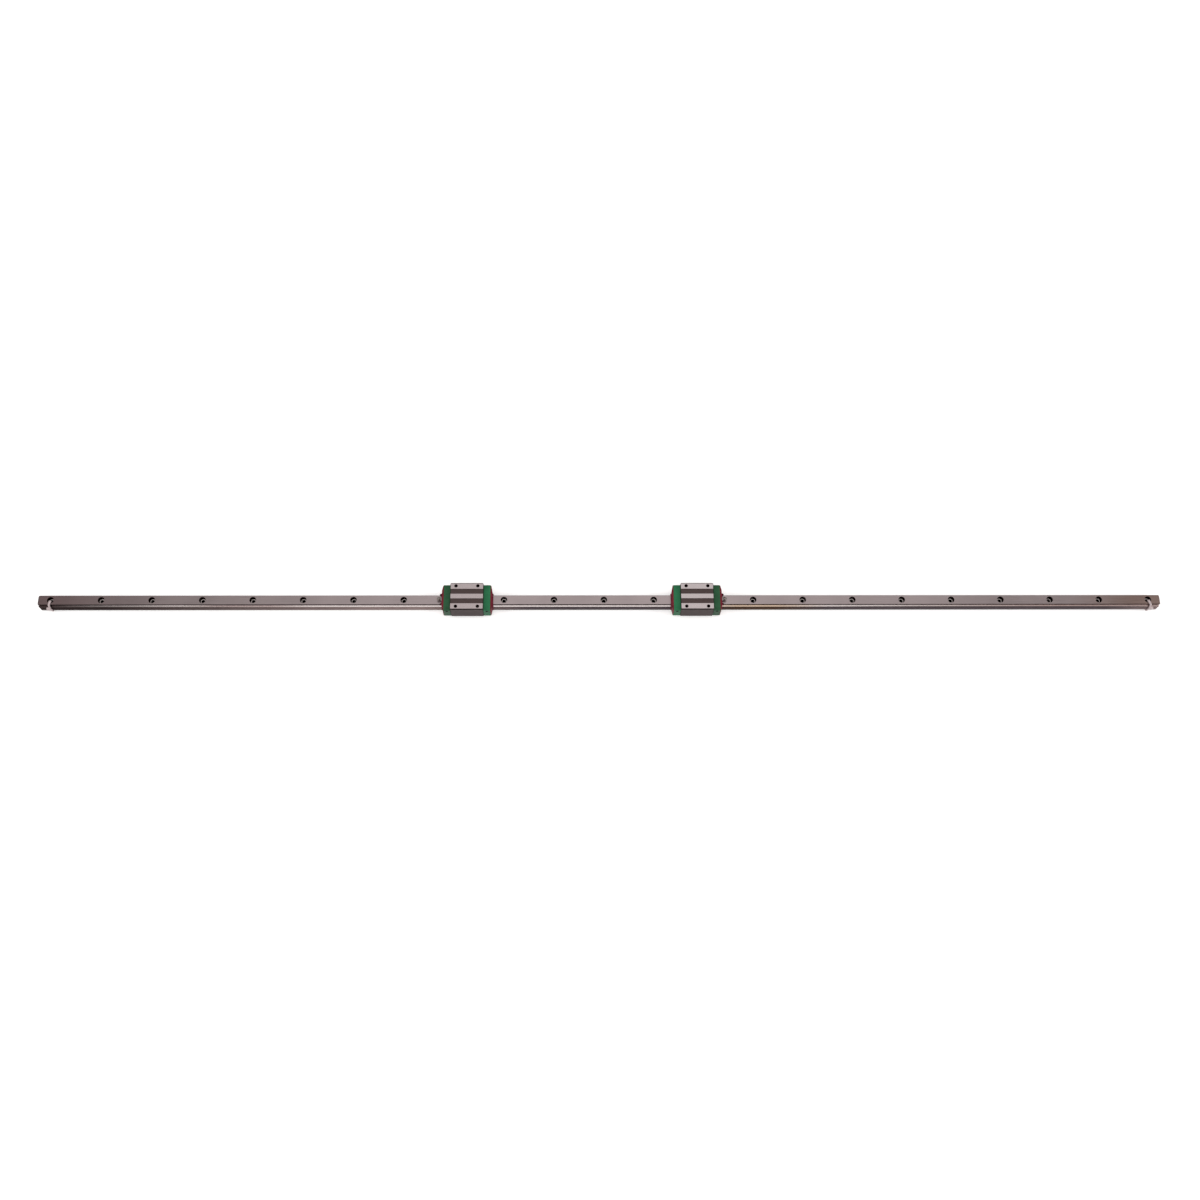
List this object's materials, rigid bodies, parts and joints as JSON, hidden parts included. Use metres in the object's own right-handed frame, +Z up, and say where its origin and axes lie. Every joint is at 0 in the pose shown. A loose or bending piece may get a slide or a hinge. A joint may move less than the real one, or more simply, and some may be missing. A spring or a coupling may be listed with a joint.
{
  "type": "linear guide rail with carriages",
  "caption": "Long profiled steel rail with counterbored holes and narrow ball carriages, green end caps and red end seals, and a nylon cable tie through each end hole.",
  "frame": {"origin": "on the floor under the axis of the middle hole of the rail, halfway along it", "axes": "+X along the rail, +Z up out of the carriages' top faces, -Y towards the side where the cable ties' heads are"},
  "size_m": [1.35, 0.034, 0.029],
  "materials": {
    "rail_steel": "ground bearing steel",
    "block_steel": "ground bearing steel, dark on the sides",
    "cap_green": "moulded green plastic",
    "seal_red": "dark red moulded seal",
    "nipple_steel": "plated steel",
    "bottom_seal_rubber": "black rubber",
    "retainer_plastic": "natural moulded plastic",
    "ball_steel": "polished bearing balls",
    "tie_nylon": "natural white nylon"
  },
  "bodies": {
    "rail": {"rail": "rail_steel", "left_tie": "tie_nylon", "right_tie": "tie_nylon"},
    "left_carriage": {"left_block": "block_steel", "left_cap_outer": "cap_green", "left_cap_inner": "cap_green", "left_seal_outer": "seal_red", "left_seal_inner": "seal_red", "left_nipple": "nipple_steel", "left_bottom_seals": "bottom_seal_rubber", "left_retainers": "retainer_plastic", "left_balls": "ball_steel"},
    "right_carriage": {"right_block": "block_steel", "right_cap_outer": "cap_green", "right_cap_inner": "cap_green", "right_seal_outer": "seal_red", "right_seal_inner": "seal_red", "right_nipple": "nipple_steel", "right_bottom_seals": "bottom_seal_rubber", "right_retainers": "retainer_plastic", "right_balls": "ball_steel"}
  },
  "joints": [
    {"name": "left_carriage_slide", "type": "slide", "parent": "rail", "child": "left_carriage", "axis": [1, 0, 0], "range_m": [-0.462, 0.1059]},
    {"name": "right_carriage_slide", "type": "slide", "parent": "rail", "child": "right_carriage", "axis": [1, 0, 0], "range_m": [-0.1059, 0.5145]}
  ]
}
